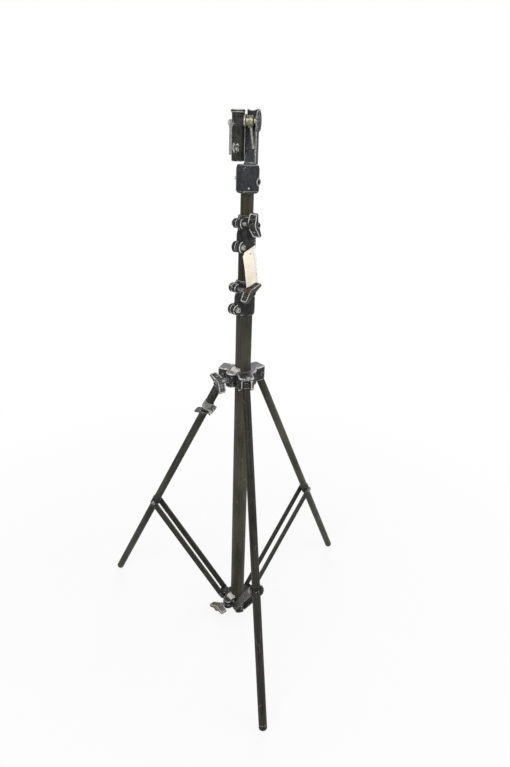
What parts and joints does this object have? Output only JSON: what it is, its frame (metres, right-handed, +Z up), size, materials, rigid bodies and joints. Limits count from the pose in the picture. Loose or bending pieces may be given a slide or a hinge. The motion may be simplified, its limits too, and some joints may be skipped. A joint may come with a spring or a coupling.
{
  "type": "telescopic three-leg stand",
  "caption": "Heavy folding stand: telescopic column, wing-knob clamps, strutted legs, one levelling leg and a tilting boom sleeve.",
  "frame": {"origin": "on the floor, on the column's axis, between the three feet", "axes": "+Z up the column; the front leg points along -Y; the levelling leg is at 150 degrees from +X, the third leg at 30 degrees"},
  "size_m": [0.7466, 0.6493, 1.398],
  "materials": {
    "tube_paint": "dark olive-grey, streaked satin",
    "casting_paint": "black paint, chipped to silver on the edges",
    "strut_paint": "near-black satin",
    "knob_paint": "black paint, worn light along the rims",
    "zinc": "dull zinc plate",
    "dark_steel": "oiled dark steel",
    "old_brass": "dull olive brass",
    "nylon": "off-white nylon",
    "black_plastic": "matt black",
    "paper": "cream card"
  },
  "bodies": {
    "column": {"column_tube": "tube_paint", "column_plug": "black_plastic", "column_collar": "casting_paint", "column_collar_bolt": "dark_steel", "column_collar_screw": "zinc", "base_collar": "casting_paint", "base_pad": "nylon", "base_pins": "dark_steel"},
    "column_knob": {"column_collar_knob": "knob_paint"},
    "middle_riser": {"middle_riser_tube": "tube_paint", "middle_riser_bush": "black_plastic", "riser_collar": "casting_paint", "riser_collar_bolt": "dark_steel", "riser_collar_screw": "zinc", "paper_tag": "paper"},
    "riser_knob": {"riser_collar_knob": "knob_paint"},
    "head": {"top_riser_tube": "tube_paint", "top_riser_bush": "black_plastic", "head_socket": "casting_paint", "head_set_screw": "dark_steel", "head_pins": "dark_steel"},
    "boom_sleeve": {"boom_sleeve": "casting_paint", "sleeve_shoe": "zinc", "shoe_screw": "zinc", "tilt_stud": "dark_steel", "tilt_disc": "casting_paint", "tilt_washer": "zinc"},
    "clamp_hub": {"clamp_hub": "old_brass", "hub_handle": "zinc"},
    "leg_yoke": {"leg_yoke": "casting_paint", "yoke_pad": "nylon", "hinge_pins": "dark_steel"},
    "yoke_knob": {"yoke_clamp_screw": "dark_steel", "yoke_knob": "knob_paint"},
    "base_knob": {"base_clamp_screw": "dark_steel", "base_knob": "knob_paint"},
    "leg_front": {"leg_head_front": "casting_paint", "leg_tube_front": "tube_paint", "leg_tip_front": "black_plastic", "strut_sleeve_front": "strut_paint"},
    "leg_right": {"leg_head_right": "casting_paint", "leg_tube_right": "tube_paint", "leg_tip_right": "black_plastic", "strut_sleeve_right": "strut_paint"},
    "leg_left": {"leg_head_left": "casting_paint", "guide_tube": "casting_paint", "lock_collar": "casting_paint", "strut_sleeve_left": "strut_paint"},
    "levelling_leg": {"leg_tube_left": "tube_paint", "leg_tip_left": "black_plastic"},
    "lock_plate": {"lock_plate": "casting_paint"},
    "strut_front": {"strut_bars_front": "strut_paint", "strut_screws_front": "dark_steel"},
    "strut_right": {"strut_bars_right": "strut_paint", "strut_screws_right": "dark_steel"},
    "strut_left": {"strut_bars_left": "strut_paint", "strut_screws_left": "dark_steel"}
  },
  "joints": [
    {"name": "middle_riser_slide", "type": "slide", "parent": "column", "child": "middle_riser", "axis": [0, 0, 1], "range_m": [-0.055, 0.72]},
    {"name": "top_riser_slide", "type": "slide", "parent": "middle_riser", "child": "head", "axis": [0, 0, 1], "range_m": [-0.035, 0.75]},
    {"name": "column_knob_turn", "type": "hinge", "parent": "column", "child": "column_knob", "pos_m": [-0.00356, -0.04462, 1.013], "axis": [0.5592, -0.829, 0], "range_deg": [0, 540]},
    {"name": "riser_knob_turn", "type": "hinge", "parent": "middle_riser", "child": "riser_knob", "pos_m": [0.01048, -0.04195, 1.163], "axis": [0.766, -0.6428, 0], "range_deg": [0, 540]},
    {"name": "yoke_slide", "type": "slide", "parent": "column", "child": "leg_yoke", "axis": [0, 0, 1], "range_m": [0, 0.1285]},
    {"name": "yoke_knob_turn", "type": "hinge", "parent": "leg_yoke", "child": "yoke_knob", "pos_m": [-0.05629, -0.0325, 0.77925], "axis": [-0.866, -0.5, 0], "range_deg": [0, 540]},
    {"name": "base_knob_turn", "type": "hinge", "parent": "column", "child": "base_knob", "pos_m": [-0.05629, -0.0325, 0.022], "axis": [-0.866, -0.5, 0], "range_deg": [0, 540]},
    {"name": "leg_front_fold", "type": "hinge", "parent": "leg_yoke", "child": "leg_front", "pos_m": [0, -0.0476, 0.7794], "axis": [1, 0, 0], "range_deg": [0, 25.75]},
    {"name": "leg_right_fold", "type": "hinge", "parent": "leg_yoke", "child": "leg_right", "pos_m": [0.04122, 0.0238, 0.7794], "axis": [-0.5, 0.866, 0], "range_deg": [0, 25.75]},
    {"name": "leg_left_fold", "type": "hinge", "parent": "leg_yoke", "child": "leg_left", "pos_m": [-0.04122, 0.0238, 0.7794], "axis": [-0.5, -0.866, 0], "range_deg": [0, 25.75]},
    {"name": "strut_front_fold", "type": "hinge", "parent": "column", "child": "strut_front", "pos_m": [0, -0.048, 0.0273], "axis": [-1, 0, 0], "range_deg": [0, 38.2]},
    {"name": "strut_right_fold", "type": "hinge", "parent": "column", "child": "strut_right", "pos_m": [0.04157, 0.024, 0.0273], "axis": [0.5, -0.866, 0], "range_deg": [0, 38.2]},
    {"name": "strut_left_fold", "type": "hinge", "parent": "column", "child": "strut_left", "pos_m": [-0.04157, 0.024, 0.0273], "axis": [0.5, 0.866, 0], "range_deg": [0, 38.2]},
    {"name": "levelling_slide", "type": "slide", "parent": "leg_left", "child": "levelling_leg", "axis": [0.3756, -0.2168, 0.9011], "range_m": [-0.055, 0]},
    {"name": "lock_plate_tilt", "type": "hinge", "parent": "leg_left", "child": "lock_plate", "pos_m": [-0.07447, 0.04299, 0.65582], "axis": [-0.5, -0.866, 0], "range_deg": [-8, 0]},
    {"name": "sleeve_tilt", "type": "hinge", "parent": "head", "child": "boom_sleeve", "pos_m": [0, 0, 1.374], "axis": [0.9272, -0.3746, 0], "range_deg": [-120, 120]},
    {"name": "hub_turn", "type": "hinge", "parent": "head", "child": "clamp_hub", "pos_m": [0, 0, 1.374], "axis": [-0.9272, 0.3746, 0], "range_deg": [0, 200]}
  ],
  "couplings": [
    {"joint": "leg_front_fold", "follows": "yoke_slide", "rad_per_m": 3.4907},
    {"joint": "leg_right_fold", "follows": "yoke_slide", "rad_per_m": 3.4907},
    {"joint": "leg_left_fold", "follows": "yoke_slide", "rad_per_m": 3.4907},
    {"joint": "strut_front_fold", "follows": "yoke_slide", "rad_per_m": 5.1822},
    {"joint": "strut_right_fold", "follows": "yoke_slide", "rad_per_m": 5.1822},
    {"joint": "strut_left_fold", "follows": "yoke_slide", "rad_per_m": 5.1822}
  ]
}
